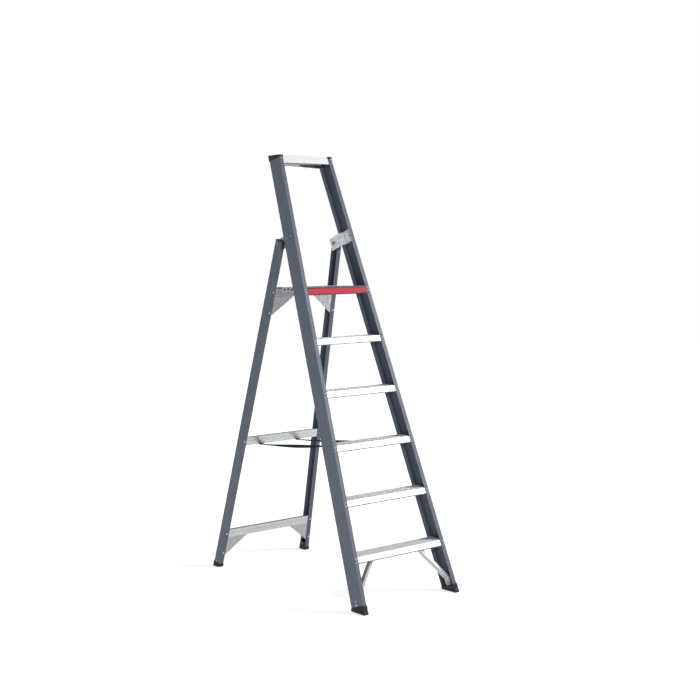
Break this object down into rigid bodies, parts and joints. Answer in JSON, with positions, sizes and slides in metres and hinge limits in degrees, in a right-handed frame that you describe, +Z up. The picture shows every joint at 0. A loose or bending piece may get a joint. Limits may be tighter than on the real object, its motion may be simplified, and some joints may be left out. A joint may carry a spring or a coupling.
{
  "type": "step ladder",
  "caption": "Single-sided aluminium step ladder with box treads, a folding platform step, a hand rail, braced rear legs, rubber feet and opening straps.",
  "frame": {"origin": "on the floor, at the middle of the open ladder's footprint", "axes": "+Z up, +Y from the treads towards the rear legs, +X to the climber's right"},
  "size_m": [0.5738, 1.2106, 2.04],
  "materials": {
    "frame_paint": "satin",
    "bare_aluminium": "satin",
    "plate_aluminium": "satin",
    "red_plastic": "satin",
    "black_plastic": "matte",
    "black_rubber": "matte",
    "steel": "satin",
    "webbing": "matte"
  },
  "bodies": {
    "front_frame": {"left_stile": "frame_paint", "right_stile": "frame_paint", "left_stile_cap": "black_plastic", "right_stile_cap": "black_plastic", "left_front_shoe": "black_rubber", "right_front_shoe": "black_rubber", "tread_1": "bare_aluminium", "tread_2": "bare_aluminium", "tread_3": "bare_aluminium", "tread_4": "bare_aluminium", "tread_5": "bare_aluminium", "top_step": "bare_aluminium", "top_step_cover": "red_plastic", "top_rail": "bare_aluminium", "tread_rivets": "steel", "left_brace": "plate_aluminium", "right_brace": "plate_aluminium", "brace_rivets": "steel", "left_hinge_bracket": "plate_aluminium", "right_hinge_bracket": "plate_aluminium", "bracket_rivets": "steel", "platform_hinge": "plate_aluminium", "platform_pin": "steel", "strap_anchors": "plate_aluminium", "left_strap": "webbing", "right_strap": "webbing"},
    "rear_frame": {"left_leg": "frame_paint", "right_leg": "frame_paint", "left_leg_plug": "black_plastic", "right_leg_plug": "black_plastic", "left_pivot_bolt": "steel", "right_pivot_bolt": "steel", "pivot_washers": "black_plastic", "low_crossbar": "bare_aluminium", "middle_crossbar": "bare_aluminium", "deck_crossbar": "bare_aluminium", "left_low_gusset": "plate_aluminium", "right_low_gusset": "plate_aluminium", "left_deck_gusset": "plate_aluminium", "right_deck_gusset": "plate_aluminium", "crossbar_rivets": "steel", "left_rear_shoe": "black_rubber", "right_rear_shoe": "black_rubber", "rear_shoe_rivets": "steel", "strap_clips": "plate_aluminium"},
    "platform": {"platform": "bare_aluminium"}
  },
  "joints": [
    {"name": "rear_fold", "type": "hinge", "parent": "front_frame", "child": "rear_frame", "pos_m": [0, 0.11822, 1.61873], "axis": [-1, 0, 0], "range_deg": [0, 35.5], "deforming": ["left_strap", "right_strap"]},
    {"name": "platform_fold", "type": "hinge", "parent": "front_frame", "child": "platform", "pos_m": [0, 0.00217, 1.40002], "axis": [1, 0, 0], "range_deg": [0, 70]}
  ],
  "couplings": [
    {"joint": "platform_fold", "follows": "rear_fold", "ratio": 1.97}
  ]
}
